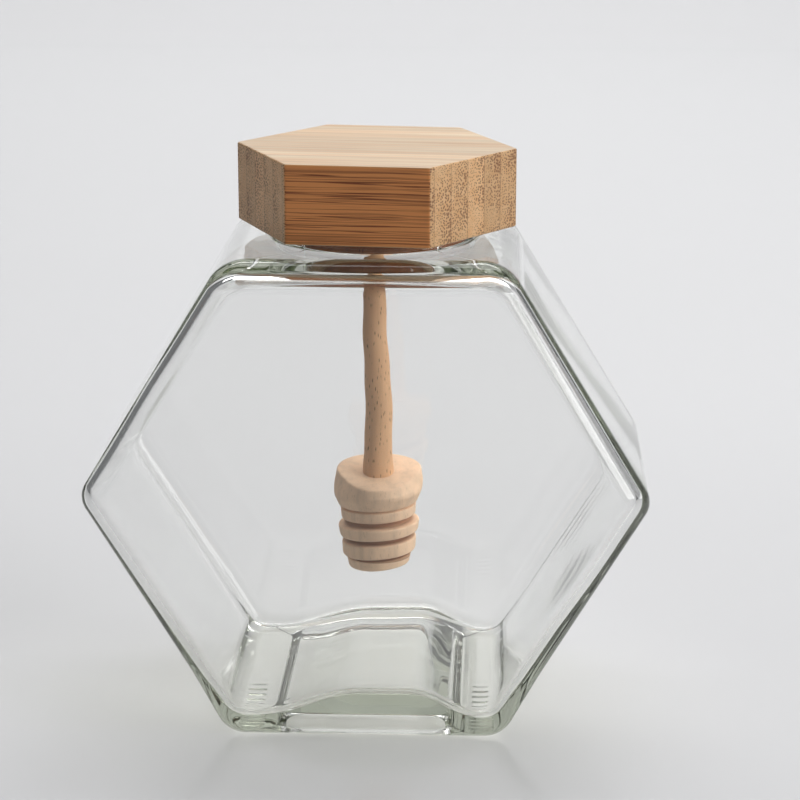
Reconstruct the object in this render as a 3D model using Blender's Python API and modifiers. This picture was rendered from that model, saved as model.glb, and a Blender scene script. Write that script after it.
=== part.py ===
# Hexagonal glass jar with a bamboo lid and a hanging wooden honey dipper.
# Metres, +Z up. The origin is the centre of the jar's foot, the front face looks along -Y
# and the hexagon's long diagonal lies along X.

import math

import bmesh
import bpy

# Driving dimensions of the glass
JAR_WIDTH = 0.1200          # across the two side corners, before rounding
JAR_HEIGHT = 0.1022         # foot to top face
JAR_DEPTH = 0.0615          # front face to back face
CORNER_HEIGHT = 0.0514      # height of the two side corners
FLAT_HALF = 0.0290          # half of the top and bottom edges of the hexagon
TOP_ROUND = 0.0095          # radius on the two upper corners of the outline
SIDE_ROUND = 0.0046         # radius on the two side corners
FOOT_ROUND = 0.0070         # radius on the two lower corners
FACE_ROUND = 0.0036         # radius where the front and back faces turn into the sides
WALL = 0.0018               # front, back and sloping walls
CEILING = 0.0034            # glass under the top face
FLOOR = 0.0032              # glass over the foot, beside the ridge
INNER_TOP_ROUND = 0.0080
INNER_SIDE_ROUND = 0.0038
INNER_FOOT_ROUND = 0.0058
INNER_FACE_ROUND = 0.0034

# Raised floor: a ridge from front to back, gentle on its left flank and steeper on its right
RIDGE_RISE = 0.0052
RIDGE_LEFT = 0.0225         # where it starts, left of the middle
RIDGE_RIGHT = 0.0250        # where it ends, right of the middle
RIDGE_CLIMB = 0.0220        # width of the left flank
RIDGE_FALL = 0.0150         # width of the right flank
RIDGE_STEPS = 20

# Push-up in the foot
RECESS_HALF_X = 0.0195
RECESS_HALF_Y = 0.0253
RECESS_DEPTH = 0.0033
RECESS_LEAN_X = 0.0018      # how far its sides lean in
RECESS_LEAN_Y = 0.0012      # how far its ends lean in
RECESS_ROUND = 0.0016

# Round mouth on the top face
NECK_RADIUS = 0.0214
BORE_RADIUS = 0.0203
NECK_TOP = 0.1043
NECK_SHIFT = 0.0010         # the mouth stands a little right of the body's middle
NECK_FILLET = 0.0006
LIP_ROUND = 0.0005
BORE_FLARE = 0.0022
FLARE_TURN = 55             # degrees that the flare turns before it meets the ceiling

# Bamboo lid and its plug
LID_RADIUS = 0.02987        # centre to corner
LID_BOTTOM = 0.1046
LID_TOP = 0.1212
LID_TURN = math.radians(-5.9)
LID_SHIFT = 0.0013          # the plug is loose in the mouth, so the lid sits to one side
LID_EDGE = 0.0003
PLUG_RADIUS = 0.0196
PLUG_BOTTOM = 0.0998
PLUG_EDGE = 0.0008
PLUG_SOCKET = 0.0030        # depth of the hole that takes the stick

# Honey dipper
HANDLE_TOP_RADIUS = 0.0022
HANDLE_FOOT_RADIUS = 0.0034
SOCKET_DEPTH = 0.0050
HANDLE_SWELL = 1.15         # power by which the stick widens downwards
HANDLE_RINGS = 10
SWELL_TOP = 0.0040          # how far above the head the stick is at its widest
HEAD_TOP = 0.0497           # height of the sawn top at the axis
TOP_TILT = math.radians(10.3)   # the sawn top rises towards the back
SAW_SIZE = 0.0300           # side of the block that makes the sloping cut

# Radius and height down the dipper's head: five rings, two of the grooves deep
HEAD_PROFILE = (
    (0.0094, 0.0520), (0.0094, 0.0497), (0.0099, 0.0470), (0.0097, 0.0454), (0.0086, 0.0429),
    (0.0077, 0.0426), (0.0083, 0.0422), (0.0081, 0.0400), (0.0067, 0.0398), (0.0066, 0.0387),
    (0.0088, 0.0384), (0.0086, 0.0361), (0.0064, 0.0359), (0.0063, 0.0349), (0.0081, 0.0346),
    (0.0079, 0.0317), (0.0064, 0.0315), (0.0063, 0.0310), (0.0070, 0.0308), (0.0069, 0.0290),
    (0.0064, 0.0286),
)

GAP = 0.0003                # clearance between pieces that touch
OVER = 0.0020               # how far a cutter passes through an open surface
MEET = 0.0005               # overlap where two rounded surfaces meet
MERGE = 0.00001

ROUND_STEPS = 64           # sides of the mouth and plug
HEAD_STEPS = 40
STICK_STEPS = 24
ARC_STEPS = 4
CORNER_SEGMENTS = 6
FACE_SEGMENTS = 4
RECESS_SEGMENTS = 3
EDGE_SEGMENTS = 2
SHARP = math.radians(40)    # edges that turn more than this are rounded


def clear_scene():
    for item in list(bpy.data.objects):
        bpy.data.objects.remove(item, do_unlink=True)


def make_collection(name):
    collection = bpy.data.collections.new(name)
    bpy.context.scene.collection.children.link(collection)
    return collection


def make_material(name, colour, roughness, transmission=0.0, ior=1.5):
    material = bpy.data.materials.new(name)
    material.use_nodes = True
    shader = material.node_tree.nodes["Principled BSDF"]
    shader.inputs["Base Color"].default_value = (*colour, 1.0)
    shader.inputs["Roughness"].default_value = roughness
    shader.inputs["Metallic"].default_value = 0.0
    shader.inputs["Transmission Weight"].default_value = transmission
    shader.inputs["IOR"].default_value = ior
    return material


def add_object(name, mesh, collection, material=None):
    item = bpy.data.objects.new(name, mesh)
    collection.objects.link(item)
    if material is not None:
        mesh.materials.append(material)
    return item


def mark_cutter(item):
    item.hide_render = True
    item.display_type = "WIRE"
    return item


def cut(item, other, operation):
    step = item.modifiers.new(other.name, "BOOLEAN")
    step.operation = operation
    step.object = other
    step.solver = "EXACT"


def bevel(item, width, segments, limit):
    step = item.modifiers.new("Round " + limit.lower(), "BEVEL")
    step.width = width
    step.segments = segments
    step.limit_method = limit
    step.angle_limit = SHARP
    step.use_clamp_overlap = False


def hexagon_outline(side_inset, top, bottom):
    """Corners of the jar's hexagon, in X and Z, with its sloping sides moved in."""
    half = JAR_WIDTH / 2
    upper = (half - FLAT_HALF) / (JAR_HEIGHT - CORNER_HEIGHT)
    lower = (half - FLAT_HALF) / CORNER_HEIGHT
    upper_in = side_inset * math.hypot(1, upper)
    lower_in = side_inset * math.hypot(1, lower)
    corner_z = CORNER_HEIGHT + (lower_in - upper_in) / (upper + lower)
    corner_x = half - lower * (CORNER_HEIGHT - corner_z) - lower_in
    top_x = half - upper * (top - CORNER_HEIGHT) - upper_in
    bottom_x = half - lower * (CORNER_HEIGHT - bottom) - lower_in
    right = [(bottom_x, bottom), (corner_x, corner_z), (top_x, top)]
    return right + [(-x, z) for x, z in reversed(right)]


def smooth(share):
    """The smooth step 3t^2 - 2t^3, held at 0 and 1 outside the unit range."""
    held = min(max(share, 0.0), 1.0)
    return held * held * (3 - 2 * held)


def ridge_line():
    """Points of the raised floor from left to right, in X and Z."""
    points = []
    for i in range(RIDGE_STEPS + 1):
        x = -RIDGE_LEFT + (RIDGE_LEFT + RIDGE_RIGHT) * i / RIDGE_STEPS
        climb = smooth((x + RIDGE_LEFT) / RIDGE_CLIMB)
        fall = smooth((RIDGE_RIGHT - x) / RIDGE_FALL)
        points.append((x, FLOOR + RIDGE_RISE * climb * fall))
    return points


def corner_reach(before, corner, after, radius):
    """How far from a corner of an outline a rounding of that radius starts."""
    first = math.atan2(corner[1] - before[1], corner[0] - before[0])
    second = math.atan2(after[1] - corner[1], after[0] - corner[0])
    turn = abs(math.remainder(second - first, 2 * math.pi))
    return radius * math.tan(turn / 2)


def rounded_prism(name, outline, rounds, depth, face_round, collection, material=None):
    """Prism along Y whose outline corners and face edges are rounded by two bevels.

    rounds holds one radius for each point of the outline; those past its end stay as drawn.
    """
    count = len(outline)
    reaches = [corner_reach(outline[i - 1], outline[i], outline[(i + 1) % count], radius)
               for i, radius in enumerate(rounds)]
    widest = max(reaches)
    shape = bmesh.new()
    front = [shape.verts.new((x, -depth / 2, z)) for x, z in outline]
    back = [shape.verts.new((x, depth / 2, z)) for x, z in outline]
    shape.faces.new(front)
    shape.faces.new(back)
    for i in range(count):
        after = (i + 1) % count
        shape.faces.new((front[i], front[after], back[after], back[i]))
    bmesh.ops.recalc_face_normals(shape, faces=shape.faces)
    weight = shape.edges.layers.float.new("bevel_weight_edge")
    for i, reach in enumerate(reaches):
        edge = shape.edges.get((front[i], back[i]))
        edge[weight] = reach / widest
    mesh = bpy.data.meshes.new(name)
    shape.to_mesh(mesh)
    shape.free()
    item = add_object(name, mesh, collection, material)
    bevel(item, widest, CORNER_SEGMENTS, "WEIGHT")
    bevel(item, face_round, FACE_SEGMENTS, "ANGLE")
    return item


def turned(name, profile, collection, material=None, steps=ROUND_STEPS):
    """Solid of revolution: radius and height pairs down the outer side, top to bottom."""
    mesh = bpy.data.meshes.new(name)
    points = [(radius, 0, height) for radius, height in profile]
    edges = [(i, i + 1) for i in range(len(points) - 1)]
    mesh.from_pydata(points, edges, [])
    item = add_object(name, mesh, collection, material)
    screw = item.modifiers.new("Turn", "SCREW")
    screw.steps = steps
    screw.render_steps = steps
    screw.use_merge_vertices = True
    screw.merge_threshold = MERGE
    screw.use_smooth_shade = True
    return item


def arc(centre, radius, start, end, steps):
    """Points on an arc in the radius and height plane, angles in degrees."""
    angles = [math.radians(start + (end - start) * i / steps) for i in range(steps + 1)]
    return [(centre[0] + radius * math.cos(a), centre[1] + radius * math.sin(a)) for a in angles]


def neck_collar(collection):
    """The glass ring of the mouth, with a rounded lip and a small fillet onto the top face."""
    buried = JAR_HEIGHT - CEILING / 2
    lip_centre = (NECK_RADIUS - LIP_ROUND, NECK_TOP - LIP_ROUND)
    foot_centre = (NECK_RADIUS + NECK_FILLET, JAR_HEIGHT + NECK_FILLET)
    lip = arc(lip_centre, LIP_ROUND, 90, 0, ARC_STEPS)
    foot = arc(foot_centre, NECK_FILLET, 180, 270, ARC_STEPS)
    skirt = (foot[-1][0], buried)
    profile = [(0, NECK_TOP)] + lip + foot + [skirt, (0, buried)]
    collar = turned("neck_collar", profile, collection)
    collar.location = (NECK_SHIFT, 0, 0)
    return mark_cutter(collar)


def neck_bore(collection):
    """The hole through the mouth, flared where it opens into the jar."""
    over = NECK_TOP + OVER
    ceiling = JAR_HEIGHT - CEILING
    drop = BORE_FLARE * math.sin(math.radians(FLARE_TURN))
    flare_centre = (BORE_RADIUS + BORE_FLARE, ceiling + drop - MEET)
    lip_centre = (BORE_RADIUS + LIP_ROUND, NECK_TOP - LIP_ROUND)
    lip = arc(lip_centre, LIP_ROUND, 90, 180, ARC_STEPS)
    flare = arc(flare_centre, BORE_FLARE, 180, 180 + FLARE_TURN, ARC_STEPS)
    below = ceiling - OVER
    rim = (lip[0][0], over)
    profile = [(0, over), rim] + lip + flare + [(flare[-1][0], below), (0, below)]
    bore = turned("neck_bore", profile, collection)
    bore.location = (NECK_SHIFT, 0, 0)
    return mark_cutter(bore)


def foot_recess(collection):
    """The shallow push-up in the underside, a box with rounded corners that narrows upwards."""
    shape = bmesh.new()
    bmesh.ops.create_cube(shape, size=2.0)
    for corner in shape.verts:
        top = corner.co.z > 0
        share = 1.0 if top else -OVER / RECESS_DEPTH
        corner.co.x *= RECESS_HALF_X - RECESS_LEAN_X * share
        corner.co.y *= RECESS_HALF_Y - RECESS_LEAN_Y * share
        corner.co.z = RECESS_DEPTH * share
    mesh = bpy.data.meshes.new("foot_recess")
    shape.to_mesh(mesh)
    shape.free()
    item = add_object("foot_recess", mesh, collection)
    bevel(item, RECESS_ROUND, RECESS_SEGMENTS, "ANGLE")
    return mark_cutter(item)


def jar_glass(parts, cutters):
    """The blown jar: a rounded hexagonal prism, hollow, with a mouth, a ridge and a push-up."""
    glass = make_material("flint_glass", (0.93, 0.97, 0.95), 0.02, 1.0, 1.52)
    outer = hexagon_outline(0.0, JAR_HEIGHT, 0.0)
    rounds = [FOOT_ROUND, SIDE_ROUND, TOP_ROUND, TOP_ROUND, SIDE_ROUND, FOOT_ROUND]
    jar = rounded_prism("jar_glass", outer, rounds, JAR_DEPTH, FACE_ROUND, parts, glass)
    inner = hexagon_outline(WALL, JAR_HEIGHT - CEILING, FLOOR) + ridge_line()
    rounds = [INNER_FOOT_ROUND, INNER_SIDE_ROUND, INNER_TOP_ROUND, INNER_TOP_ROUND,
              INNER_SIDE_ROUND, INNER_FOOT_ROUND]
    cavity = rounded_prism("jar_cavity", inner, rounds, JAR_DEPTH - 2 * WALL,
                           INNER_FACE_ROUND, cutters)
    mark_cutter(cavity)
    cut(jar, neck_collar(cutters), "UNION")
    cut(jar, cavity, "DIFFERENCE")
    cut(jar, neck_bore(cutters), "DIFFERENCE")
    cut(jar, foot_recess(cutters), "DIFFERENCE")
    return jar


def lid_block(parts):
    """Hexagonal block of laminated bamboo that covers the mouth."""
    bamboo = make_material("laminated_bamboo", (0.47, 0.24, 0.09), 0.55)
    shape = bmesh.new()
    bmesh.ops.create_cone(shape, cap_ends=True, segments=6, radius1=LID_RADIUS,
                          radius2=LID_RADIUS, depth=LID_TOP - LID_BOTTOM)
    first = shape.verts[:][0].co
    start = math.atan2(first.y, first.x)
    mesh = bpy.data.meshes.new("lid_block")
    shape.to_mesh(mesh)
    shape.free()
    lid = add_object("lid_block", mesh, parts, bamboo)
    lid.location = (LID_SHIFT, 0, (LID_TOP + LID_BOTTOM) / 2)
    lid.rotation_euler = (0, 0, LID_TURN - start)
    bevel(lid, LID_EDGE, EDGE_SEGMENTS, "ANGLE")
    return lid


def socket(name, radius, low, high, collection):
    """A blind round hole for an end of the dipper's handle."""
    profile = [(0, high), (radius, high), (radius, low), (0, low)]
    item = turned(name, profile, collection, steps=STICK_STEPS)
    item.location = (LID_SHIFT, 0, 0)
    return mark_cutter(item)


def lid_plug(parts, cutters):
    """Round plug under the lid, which drops into the mouth and carries the dipper."""
    wood = make_material("stained_plug_wood", (0.13, 0.055, 0.025), 0.6)
    top = LID_BOTTOM - GAP
    lower = arc((PLUG_RADIUS - PLUG_EDGE, PLUG_BOTTOM + PLUG_EDGE), PLUG_EDGE, 0, -90, ARC_STEPS)
    profile = [(0, top), (PLUG_RADIUS, top)] + lower + [(0, PLUG_BOTTOM)]
    plug = turned("lid_plug", profile, parts, wood)
    plug.location = (LID_SHIFT, 0, 0)
    hole = socket("plug_socket", HANDLE_TOP_RADIUS + GAP, PLUG_BOTTOM - OVER,
                  PLUG_BOTTOM + PLUG_SOCKET, cutters)
    cut(plug, hole, "DIFFERENCE")
    return plug


def dipper_handle(parts):
    """Turned stick that widens towards the dipper's head, with both ends in sockets."""
    wood = make_material("beech_handle", (0.43, 0.27, 0.15), 0.65)
    top = PLUG_BOTTOM + PLUG_SOCKET - GAP
    neck = PLUG_BOTTOM - OVER
    foot = HEAD_TOP - SOCKET_DEPTH + GAP
    swell = HEAD_TOP + SWELL_TOP
    profile = [(0, top), (HANDLE_TOP_RADIUS, top), (HANDLE_TOP_RADIUS, neck)]
    widening = HANDLE_FOOT_RADIUS - HANDLE_TOP_RADIUS
    for i in range(1, HANDLE_RINGS + 1):
        share = i / HANDLE_RINGS
        radius = HANDLE_TOP_RADIUS + widening * share ** HANDLE_SWELL
        profile.append((radius, neck + (swell - neck) * share))
    profile += [(HANDLE_FOOT_RADIUS, foot), (0, foot)]
    handle = turned("dipper_handle", profile, parts, wood, steps=STICK_STEPS)
    handle.location = (LID_SHIFT, 0, 0)
    return handle


def sloping_saw(collection):
    """A block whose underside cuts the head's top on a slope."""
    shape = bmesh.new()
    bmesh.ops.create_cube(shape, size=SAW_SIZE)
    bmesh.ops.translate(shape, verts=shape.verts, vec=(0, 0, SAW_SIZE / 2))
    mesh = bpy.data.meshes.new("sloping_saw")
    shape.to_mesh(mesh)
    shape.free()
    saw = add_object("sloping_saw", mesh, collection)
    saw.location = (LID_SHIFT, 0, HEAD_TOP)
    saw.rotation_euler = (TOP_TILT, 0, 0)
    return mark_cutter(saw)


def dipper_head(parts, cutters):
    """Head of five rings with grooves between them, smaller towards its foot."""
    wood = make_material("pale_beech", (0.66, 0.47, 0.31), 0.6)
    first, last = HEAD_PROFILE[0][1], HEAD_PROFILE[-1][1]
    profile = [(0, first)] + list(HEAD_PROFILE) + [(0, last)]
    head = turned("dipper_head", profile, parts, wood, steps=HEAD_STEPS)
    head.location = (LID_SHIFT, 0, 0)
    hole = socket("head_socket", HANDLE_FOOT_RADIUS + GAP, HEAD_TOP - SOCKET_DEPTH,
                  first + OVER, cutters)
    cut(head, sloping_saw(cutters), "DIFFERENCE")
    cut(head, hole, "DIFFERENCE")
    return head


def build():
    clear_scene()
    parts = make_collection("hexagonal_glass_jar")
    cutters = make_collection("cutters")
    jar_glass(parts, cutters)
    lid_block(parts)
    lid_plug(parts, cutters)
    dipper_handle(parts)
    dipper_head(parts, cutters)


build()
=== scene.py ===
"""Looks of a hexagonal glass jar with a bamboo lid and a hanging honey dipper.

The glass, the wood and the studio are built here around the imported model, which is
loaded first and never moved. Lengths are metres unless a name says otherwise.
"""

import math

import bpy
import numpy as np
from bpy.props import FloatProperty, FloatVectorProperty, IntProperty, PointerProperty
from bpy.types import Operator, Panel, PropertyGroup
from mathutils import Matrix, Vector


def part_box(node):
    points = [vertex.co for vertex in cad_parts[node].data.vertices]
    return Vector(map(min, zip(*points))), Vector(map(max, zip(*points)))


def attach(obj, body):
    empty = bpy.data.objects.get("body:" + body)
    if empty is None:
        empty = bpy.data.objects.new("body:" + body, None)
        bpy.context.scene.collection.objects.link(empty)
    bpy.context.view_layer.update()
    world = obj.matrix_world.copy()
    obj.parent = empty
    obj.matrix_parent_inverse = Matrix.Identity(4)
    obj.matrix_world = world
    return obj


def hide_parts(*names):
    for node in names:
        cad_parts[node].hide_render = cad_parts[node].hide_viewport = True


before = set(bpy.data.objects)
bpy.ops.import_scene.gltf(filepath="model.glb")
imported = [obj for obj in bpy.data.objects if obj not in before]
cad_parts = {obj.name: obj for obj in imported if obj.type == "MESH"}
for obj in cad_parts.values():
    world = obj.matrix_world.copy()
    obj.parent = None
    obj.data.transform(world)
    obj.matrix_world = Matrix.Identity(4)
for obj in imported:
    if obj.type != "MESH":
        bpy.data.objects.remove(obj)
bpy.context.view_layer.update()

bl_info = {
    "name": "Hexagonal Honey Jar",
    "version": (1, 0, 0),
    "blender": (4, 5, 0),
    "location": "3D View > Sidebar > Honey Jar",
    "description": "Builds the looks of a glass jar, its bamboo lid and its dipper",
    "category": "Add Mesh",
}

MM = 0.001
BODY = "root"

JAR_LOW, JAR_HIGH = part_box("jar_glass")
LID_LOW, LID_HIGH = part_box("lid_block")
PLUG_LOW, PLUG_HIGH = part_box("lid_plug")
HANDLE_LOW, HANDLE_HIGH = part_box("dipper_handle")
LID_AXIS_X = (PLUG_LOW.x + PLUG_HIGH.x) / 2
AXIS_RADIUS = 0.0002   # innermost radius of a turned profile, closed by a fan


def length(name, description, default):
    """A length setting in metres."""
    return FloatProperty(name=name, description=description, default=default, unit="LENGTH",
                         precision=5, min=0.0)


def linear(code):
    """An sRGB hex colour such as C8A070 as linear red, green and blue."""
    values = [int(code[i:i + 2], 16) / 255 for i in (0, 2, 4)]
    return [v / 12.92 if v <= 0.04045 else ((v + 0.055) / 1.055) ** 2.4 for v in values]


def colour(name, description, code):
    """A colour setting, given as sRGB hex and kept linear."""
    return FloatVectorProperty(name=name, description=description, subtype="COLOR", size=3,
                               default=linear(code), min=0.0, max=1.0)


class GlassSettings(PropertyGroup):
    """Sizes and tint of the blown glass."""

    width: length("Width", "Across the sharp side corners of the hexagon", 0.1200)
    corner_height: length("Corner height", "Height of the side corners", 0.0514)
    flat_half: length("Half flat", "Half of the top and bottom edges of the hexagon", 0.0290)
    body_height: length("Body height", "Foot to top face", 0.1022)
    body_depth: length("Body depth", "Front face to back face", JAR_HIGH.y - JAR_LOW.y)
    neck_top: length("Neck top", "Height of the lip", JAR_HIGH.z)
    top_round: length("Shoulder radius", "Radius on the two upper corners", 0.0095)
    side_round: length("Side radius", "Radius on the two side corners", 0.0051)
    foot_round: length("Foot radius", "Radius on the two lower corners", 0.0070)
    face_round: length("Face radius", "Radius round the front and back faces", 0.0042)
    foot_edge: length("Foot edge radius", "The same radius low down, at the foot", 0.0016)
    edge_climb: length("Foot edge height", "How high it takes to widen to the face radius", 0.0150)
    wall: length("Wall", "Thickness of the walls", 0.0018)
    ceiling: length("Ceiling", "Glass under the top face", 0.0034)
    floor: length("Floor", "Glass over the foot", 0.0032)
    inner_top_round: length("Inner shoulder radius", "Inside radius, upper corners", 0.0080)
    inner_side_round: length("Inner side radius", "Inside radius, side corners", 0.0038)
    inner_foot_round: length("Inner foot radius", "Inside radius, lower corners", 0.0058)
    inner_face_round: length("Inner face radius", "Inside radius round the faces", 0.0034)
    recess_half_x: length("Push-up half width", "Half width of the push-up", 0.0195)
    recess_half_y: length("Push-up half depth", "Half depth of the push-up", 0.0253)
    recess_depth: length("Push-up height", "How far the foot is pushed up", 0.0033)
    recess_side: length("Push-up slope", "How far its sides lean in", 0.0026)
    recess_end: length("Push-up end slope", "How far its ends lean in", 0.0012)
    recess_round: length("Push-up radius", "Radius of its corners", 0.0030)
    ridge_rise: length("Ridge rise", "Height of the raised floor", 0.0052)
    ridge_left: length("Ridge left", "How far left of the middle the ridge starts", 0.0225)
    ridge_right: length("Ridge right", "How far right of the middle it ends", 0.0250)
    ridge_climb: length("Ridge climb", "Width of its gentle left flank", 0.0220)
    ridge_fall: length("Ridge fall", "Width of its steeper right flank", 0.0150)
    lean: length("Lean", "How far the hollow stands to the left, low in the jar", 0.0003)
    sag: FloatProperty(name="Sag", description="Share by which the hollow narrows to the foot",
                       default=0.02, min=0.0, max=0.2, subtype="FACTOR")
    neck_radius: length("Neck radius", "Outside radius of the mouth", 0.0214)
    bore_radius: length("Bore radius", "Inside radius of the mouth", 0.0203)
    neck_fillet: length("Neck fillet", "Radius between mouth and top face", 0.0006)
    neck_shift: length("Neck shift", "How far the mouth stands right of the body", 0.0010)
    lip_round: length("Lip radius", "Rounding of the lip", 0.0005)
    bore_flare: length("Bore flare", "Radius where the mouth opens into the jar", 0.0022)
    wobble: length("Wobble", "Uneven thickness left by blowing", 0.0001)
    rib_depth: length("Rib depth", "Depth of the grip ribs under the heels", 0.00014)
    rib_pitch: length("Rib pitch", "Spacing of the grip ribs", 0.0030)
    rib_inner: length("Rib inner end", "Where the ribs start, from the middle", 0.0219)
    rib_outer: length("Rib outer end", "Where the ribs run out on the corners", 0.0272)
    tint: colour("Tint", "Colour that the glass turns with thickness", "CDD2C2")
    tint_gain: FloatProperty(name="Tint gain", description="How fast it turns, per metre",
                             default=30.0)
    shade: colour("Shade", "Part of the light that its shadow lets through", "ECECEA")


def smooth(t):
    """The smooth step 3t^2 - 2t^3, held at 0 and 1 outside the unit range."""
    t = np.clip(t, 0.0, 1.0)
    return t * t * (3 - 2 * t)


class HexOutline:
    """A rounded hexagon in X and Z, symmetric left to right.

    Each corner is an arc whose centre stays put when the outline moves in, so an inset by s
    only shortens the radii by s.
    """

    def __init__(self, g, inset, bottom, top, rounds):
        top_round, side_round, foot_round = rounds
        half = g.width / 2
        self.inset, self.bottom, self.top = inset, bottom, top
        self.up = (half - g.flat_half) / (g.body_height - g.corner_height)
        self.down = (half - g.flat_half) / g.corner_height
        self.up_reach = half + self.up * g.corner_height
        self.down_reach = half - self.down * g.corner_height
        self.up_long, self.down_long = math.hypot(1, self.up), math.hypot(1, self.down)
        side_move = inset + side_round
        side_gap = (self.up_reach - self.down_reach
                    - side_move * (self.up_long - self.down_long))
        self.side_z = side_gap / (self.up + self.down)
        self.high, self.low = top - top_round, bottom + foot_round
        self.high_x = self.on_up(self.high, inset + top_round)
        self.side_x = self.on_up(self.side_z, side_move)
        self.low_x = self.on_down(self.low, inset + foot_round)
        self.rounds = rounds

    def on_up(self, z, move):
        """Half-width of the upper slope at height z, moved in by move."""
        return self.up_reach - self.up * z - move * self.up_long

    def on_down(self, z, move):
        """Half-width of the lower slope at height z, moved in by move."""
        return self.down_reach + self.down * z - move * self.down_long

    def half_width(self, z, inset):
        """Half-width at height z: three arcs with the two slopes between them."""
        top_r, side_r, foot_r = (r - inset for r in self.rounds)
        up_rise, down_rise = self.up / self.up_long, -self.down / self.down_long
        move = self.inset + inset
        slope = np.where(z > self.side_z, self.on_up(z, move), self.on_down(z, move))

        def arc(centre_x, centre_z, radius):
            return centre_x + np.sqrt(np.maximum(radius ** 2 - (z - centre_z) ** 2, 0.0))

        x = np.where(z > self.high + top_r * up_rise, arc(self.high_x, self.high, top_r), slope)
        x = np.where(z < self.low + foot_r * down_rise, arc(self.low_x, self.low, foot_r), x)
        near = (z < self.side_z + side_r * up_rise) & (z > self.side_z + side_r * down_rise)
        return np.where(near, arc(self.side_x, self.side_z, side_r), x)


SIDE_POINTS = 56    # points of a quarter row across half of the side
ROLL_POINTS = 10    # round the edge of the face
FACE_POINTS = 16    # across half of the face
TIGHT = 0.03        # share of a flat stretch that its last, close step takes


def spread(count):
    """Even steps from 0 to 1, with one close step at the end that meets a rounding."""
    return np.append(np.linspace(0, 1 - TIGHT, count - 1), 1.0)


def quarter_section(outline, depth, roll, climb, z):
    """First quarter of a level cut through the body, from the side to the middle of the face.

    The faces are rolled into the sides with radius roll: at roll angle a the outline is
    moved in by roll(1 - cos a) and the depth is depth/2 - roll + roll sin a. roll is a pair:
    it goes by a smooth step over the height climb from its first value to its second.
    """
    z = np.atleast_1d(z)[:, None]
    roll = roll[0] + (roll[1] - roll[0]) * smooth((z - outline.bottom) / climb)
    edge = np.minimum(outline.top - z, z - outline.bottom)
    last = np.arccos(np.clip(1 - edge / roll, 0.0, 1.0))
    side_y = spread(SIDE_POINTS)[None, :] * (depth / 2 - roll)
    side_x = outline.half_width(z, 0.0) + 0 * side_y
    share = np.linspace(0, 1, ROLL_POINTS + 1)[None, 1:]
    angle = last * share
    roll_x = outline.half_width(np.broadcast_to(z, angle.shape), roll * (1 - np.cos(angle)))
    roll_y = depth / 2 - roll + roll * np.sin(angle)
    across = 1 - np.append(TIGHT, np.linspace(0, 1, FACE_POINTS + 1)[1:])[None, :]
    face_x = roll_x[:, -1:] * across
    face_y = roll_y[:, -1:] + 0 * face_x
    x = np.concatenate([np.broadcast_to(side_x, (len(z), SIDE_POINTS)), roll_x, face_x], 1)
    y = np.concatenate([np.broadcast_to(side_y, (len(z), SIDE_POINTS)), roll_y, face_y], 1)
    return x, y, np.broadcast_to(z, x.shape)


def whole_ring(x, y, z):
    """Mirrors quarter rows into closed rings, seen from above anticlockwise."""
    first = np.stack([x, y, z], -1)
    back = first[:, ::-1]
    rings = [first, back[:, 1:] * (-1, 1, 1), first[:, 1:] * (-1, -1, 1),
             back[:, 1:-1] * (1, -1, 1)]
    return np.concatenate(rings, 1)


def round_rows(radius, z, angles):
    """Quarter rows of circles with given radii and heights at the given polar angles."""
    radius, z = np.atleast_1d(radius)[:, None], np.atleast_1d(z)[:, None]
    return radius * np.cos(angles), radius * np.sin(angles), z + 0 * angles


def arc_points(centre, radius, start, end, steps):
    """Points of an arc in radius and height, angles in degrees."""
    a = np.radians(np.linspace(start, end, steps + 1))
    return np.stack([centre[0] + radius * np.cos(a), centre[1] + radius * np.sin(a)], 1)


def level_heights(outline, roll):
    """Heights of the level cuts: close together where a face or corner turns."""
    top_round, side_round, foot_round = outline.rounds
    turn = 1 - np.cos(np.radians(np.linspace(0, 90, 22)))
    foot = max(roll[0], 0.5 * foot_round) * turn
    head = max(roll[1], 0.5 * top_round) * turn
    side = outline.side_z + np.linspace(-1, 1, 17) * side_round * 0.54
    lower = np.linspace(outline.bottom + foot[-1] + 0.0004, side[0] - 0.0004, 11)
    upper = np.linspace(side[-1] + 0.0004, outline.top - head[-1] - 0.0004, 11)
    return np.concatenate([outline.bottom + foot, lower, side, upper,
                           (outline.top - head)[::-1]])


def blend_rows(start, end, steps):
    """Rows that turn one quarter row into another in even shares, ends left out."""
    shares = np.linspace(0, 1, steps + 2)[1:-1, None]
    return [start[i] * (1 - shares) + end[i] * shares for i in range(3)]


def join_rows(groups):
    """Stacks groups of quarter rows in order."""
    return [np.concatenate([np.atleast_2d(g[i]) for g in groups]) for i in range(3)]


def rounded_box_row(half_x, half_y, corner, z, angles):
    """One quarter row of a rectangle with round corners, met by rays at the given angles.

    A ray first meets either a straight side or the arc about the corner's centre; the
    distance to the arc is the larger root of a quadratic.
    """
    c, s = np.cos(angles), np.sin(angles)
    centre_x, centre_y = half_x - corner, half_y - corner
    along = c * centre_x + s * centre_y
    inside = along ** 2 - centre_x ** 2 - centre_y ** 2 + corner ** 2
    to_arc = along + np.sqrt(np.maximum(inside, 0.0))
    to_side = half_x / np.maximum(c, 1e-6)
    to_end = half_y / np.maximum(s, 1e-6)
    on_side = to_side * s <= centre_y
    on_end = to_end * c <= centre_x
    reach = np.where(on_side, to_side, np.where(on_end, to_end, to_arc))
    return reach * c, reach * s, z + 0 * angles


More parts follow.
